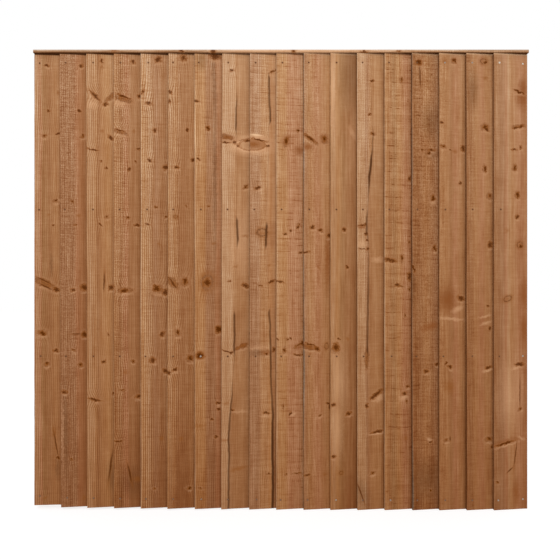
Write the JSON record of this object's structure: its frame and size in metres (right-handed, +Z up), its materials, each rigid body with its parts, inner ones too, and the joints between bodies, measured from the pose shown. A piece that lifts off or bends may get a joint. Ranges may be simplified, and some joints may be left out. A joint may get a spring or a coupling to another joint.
{
  "type": "closeboard fence panel",
  "caption": "Closeboard fence panel: tapered feather-edge boards lapped over each other, nailed upright to horizontal rails under a flat capping strip.",
  "frame": {"origin": "on the ground under the middle of the panel: half way along it, half way through the capping strip's depth, at the level of the lowest board foot", "axes": "+X runs along the panel, to the right as the boarded front is seen. +Y points to the back, where the rails are, so the boarded front faces -Y. +Z is up."},
  "size_m": [1.83, 0.0502, 1.7],
  "materials": {
    "feather_edge_board": "rough sawn softwood, brown pressure treated",
    "rail_timber": "sawn softwood, brown pressure treated",
    "capping_timber": "planed softwood, brown pressure treated",
    "wire_nail": "dull galvanised wire, some heads stained dark"
  },
  "bodies": {
    "root": {"board_01": "feather_edge_board", "board_02": "feather_edge_board", "board_03": "feather_edge_board", "board_04": "feather_edge_board", "board_05": "feather_edge_board", "board_06": "feather_edge_board", "board_07": "feather_edge_board", "board_08": "feather_edge_board", "board_09": "feather_edge_board", "board_10": "feather_edge_board", "board_11": "feather_edge_board", "board_12": "feather_edge_board", "board_13": "feather_edge_board", "board_14": "feather_edge_board", "board_15": "feather_edge_board", "board_16": "feather_edge_board", "board_17": "feather_edge_board", "board_18": "feather_edge_board", "cap": "capping_timber", "cap_nails": "wire_nail", "nails_row_1": "wire_nail", "nails_row_2": "wire_nail", "nails_row_3": "wire_nail", "nails_row_4": "wire_nail", "rail_1": "rail_timber", "rail_2": "rail_timber", "rail_3": "rail_timber", "rail_4": "rail_timber"}
  },
  "joints": []
}
